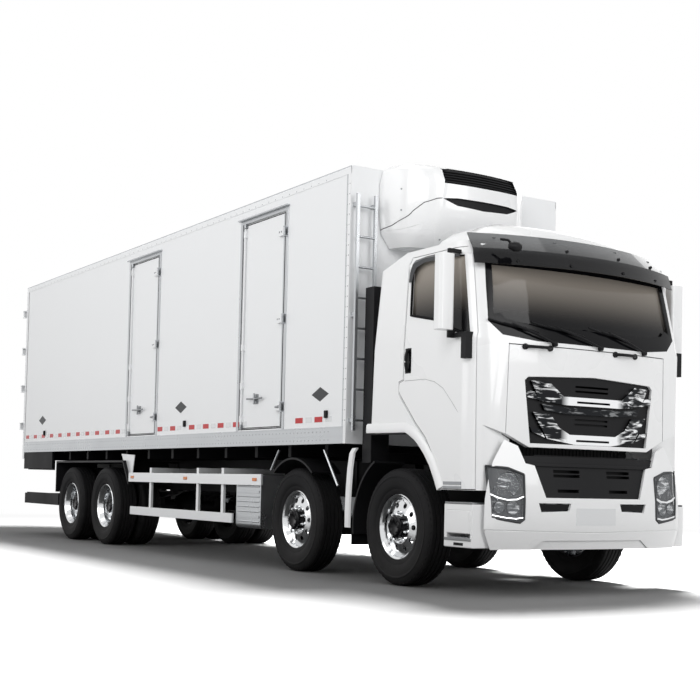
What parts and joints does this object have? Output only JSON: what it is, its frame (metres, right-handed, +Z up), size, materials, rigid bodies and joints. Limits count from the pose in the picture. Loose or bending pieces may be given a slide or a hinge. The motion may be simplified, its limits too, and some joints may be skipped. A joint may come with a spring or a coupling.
{
  "type": "refrigerated truck",
  "caption": "Heavy four-axle rigid truck with a tilting cab, an insulated box with side and rear doors, and a cooling unit on its front wall.",
  "frame": {"origin": "on the ground below the middle of the overall length and width", "axes": "+X towards the cab, +Y to the left side, +Z up"},
  "size_m": [12.023, 2.84, 3.975],
  "materials": {
    "white_paint": "glossy",
    "white_panel": "satin",
    "aluminium": "satin",
    "frame_steel": "satin",
    "chassis_paint": "satin",
    "floor_board": "matte",
    "black_plastic": "satin",
    "seat_fabric": "matte",
    "glass": "glossy",
    "lamp": "glossy",
    "tyre": "matte",
    "rim_alloy": "polished"
  },
  "bodies": {
    "truck": {"air_intake": "black_plastic", "axles": "chassis_paint", "box_floor": "floor_board", "box_front_wall": "white_panel", "box_roof": "white_panel", "box_trim": "aluminium", "box_wall_left": "white_panel", "box_wall_right": "white_panel", "cooler_housing": "white_paint", "cross_members": "chassis_paint", "engine_block": "chassis_paint", "frame_rails": "chassis_paint", "front_bumper": "white_paint", "guards": "frame_steel", "ladder": "aluminium", "lamps": "lamp", "leaf_springs": "chassis_paint", "lower_grille": "black_plastic", "mudguards": "black_plastic", "rear_frame": "frame_steel", "side_tanks": "aluminium", "step_boxes": "white_paint"},
    "cab": {"cab_shell": "white_paint", "windscreen": "glass", "roof_deflector": "white_paint", "sun_visor": "glass", "seats": "seat_fabric", "dashboard": "black_plastic"},
    "front_panel": {"front_panel": "white_paint", "upper_grille": "black_plastic"},
    "cab_door_right": {"cab_door_right": "white_paint", "door_glass_right": "glass", "mirror_right": "black_plastic"},
    "rear_door_right": {"rear_door_right": "white_panel"},
    "cab_door_left": {"cab_door_left": "white_paint", "door_glass_left": "glass", "mirror_left": "black_plastic"},
    "rear_door_left": {"rear_door_left": "white_panel"},
    "side_door_front": {"side_door_front": "white_panel"},
    "side_door_rear": {"side_door_rear": "white_panel"},
    "knuckle_1_right": {"knuckle_1_right": "chassis_paint"},
    "knuckle_1_left": {"knuckle_1_left": "chassis_paint"},
    "knuckle_2_right": {"knuckle_2_right": "chassis_paint"},
    "knuckle_2_left": {"knuckle_2_left": "chassis_paint"},
    "wheel_1_right": {"tyre_1_right": "tyre", "rim_1_right": "rim_alloy"},
    "wheel_1_left": {"tyre_1_left": "tyre", "rim_1_left": "rim_alloy"},
    "wheel_2_right": {"tyre_2_right": "tyre", "rim_2_right": "rim_alloy"},
    "wheel_2_left": {"tyre_2_left": "tyre", "rim_2_left": "rim_alloy"},
    "wheel_3_right": {"tyre_3_right": "tyre", "rim_3_right": "rim_alloy"},
    "wheel_3_left": {"tyre_3_left": "tyre", "rim_3_left": "rim_alloy"},
    "wheel_4_right": {"tyre_4_right": "tyre", "rim_4_right": "rim_alloy"},
    "wheel_4_left": {"tyre_4_left": "tyre", "rim_4_left": "rim_alloy"}
  },
  "joints": [
    {"name": "cab_tilt", "type": "hinge", "parent": "truck", "child": "cab", "pos_m": [5.84, 0, 1.32], "axis": [0, 1, 0], "range_deg": [0, 45]},
    {"name": "front_panel_lift", "type": "hinge", "parent": "cab", "child": "front_panel", "pos_m": [5.955, 0, 2.0985], "axis": [0, -1, 0], "range_deg": [0, 75]},
    {"name": "cab_door_right_hinge", "type": "hinge", "parent": "cab", "child": "cab_door_right", "pos_m": [5.792, -1.182, 1.9], "axis": [0, 0, 1], "range_deg": [0, 70]},
    {"name": "rear_door_right_hinge", "type": "hinge", "parent": "truck", "child": "rear_door_right", "pos_m": [-6.01, -1.3, 2.6], "axis": [0, 0, 1], "range_deg": [0, 270]},
    {"name": "cab_door_left_hinge", "type": "hinge", "parent": "cab", "child": "cab_door_left", "pos_m": [5.792, 1.182, 1.9], "axis": [0, 0, -1], "range_deg": [0, 70]},
    {"name": "rear_door_left_hinge", "type": "hinge", "parent": "truck", "child": "rear_door_left", "pos_m": [-6.01, 1.3, 2.6], "axis": [0, 0, -1], "range_deg": [0, 270]},
    {"name": "side_door_front_hinge", "type": "hinge", "parent": "truck", "child": "side_door_front", "pos_m": [2.684, -1.3, 2.58], "axis": [0, 0, 1], "range_deg": [0, 180]},
    {"name": "side_door_rear_hinge", "type": "hinge", "parent": "truck", "child": "side_door_rear", "pos_m": [-0.591, -1.3, 2.58], "axis": [0, 0, 1], "range_deg": [0, 180]},
    {"name": "steer_1_right", "type": "hinge", "parent": "truck", "child": "knuckle_1_right", "pos_m": [4.66, -0.85, 0.525], "axis": [0, 0, 1], "range_deg": [-35, 35]},
    {"name": "steer_1_left", "type": "hinge", "parent": "truck", "child": "knuckle_1_left", "pos_m": [4.66, 0.85, 0.525], "axis": [0, 0, 1], "range_deg": [-35, 35]},
    {"name": "steer_2_right", "type": "hinge", "parent": "truck", "child": "knuckle_2_right", "pos_m": [2.81, -0.85, 0.525], "axis": [0, 0, 1], "range_deg": [-26.6, 26.6]},
    {"name": "steer_2_left", "type": "hinge", "parent": "truck", "child": "knuckle_2_left", "pos_m": [2.81, 0.85, 0.525], "axis": [0, 0, 1], "range_deg": [-26.6, 26.6]},
    {"name": "roll_1_right", "type": "hinge", "parent": "knuckle_1_right", "child": "wheel_1_right", "pos_m": [4.66, -1.03, 0.525], "axis": [0, 1, 0], "continuous": true},
    {"name": "roll_1_left", "type": "hinge", "parent": "knuckle_1_left", "child": "wheel_1_left", "pos_m": [4.66, 1.03, 0.525], "axis": [0, 1, 0], "continuous": true},
    {"name": "roll_2_right", "type": "hinge", "parent": "knuckle_2_right", "child": "wheel_2_right", "pos_m": [2.81, -1.03, 0.525], "axis": [0, 1, 0], "continuous": true},
    {"name": "roll_2_left", "type": "hinge", "parent": "knuckle_2_left", "child": "wheel_2_left", "pos_m": [2.81, 1.03, 0.525], "axis": [0, 1, 0], "continuous": true},
    {"name": "roll_3_right", "type": "hinge", "parent": "truck", "child": "wheel_3_right", "pos_m": [-2.39, -0.926, 0.525], "axis": [0, 1, 0], "continuous": true},
    {"name": "roll_3_left", "type": "hinge", "parent": "truck", "child": "wheel_3_left", "pos_m": [-2.39, 0.926, 0.525], "axis": [0, 1, 0], "continuous": true},
    {"name": "roll_4_right", "type": "hinge", "parent": "truck", "child": "wheel_4_right", "pos_m": [-3.74, -0.926, 0.525], "axis": [0, 1, 0], "continuous": true},
    {"name": "roll_4_left", "type": "hinge", "parent": "truck", "child": "wheel_4_left", "pos_m": [-3.74, 0.926, 0.525], "axis": [0, 1, 0], "continuous": true}
  ],
  "couplings": [
    {"joint": "steer_1_left", "follows": "steer_1_right", "ratio": 1},
    {"joint": "steer_2_right", "follows": "steer_1_right", "ratio": 0.76},
    {"joint": "steer_2_left", "follows": "steer_1_right", "ratio": 0.76}
  ]
}
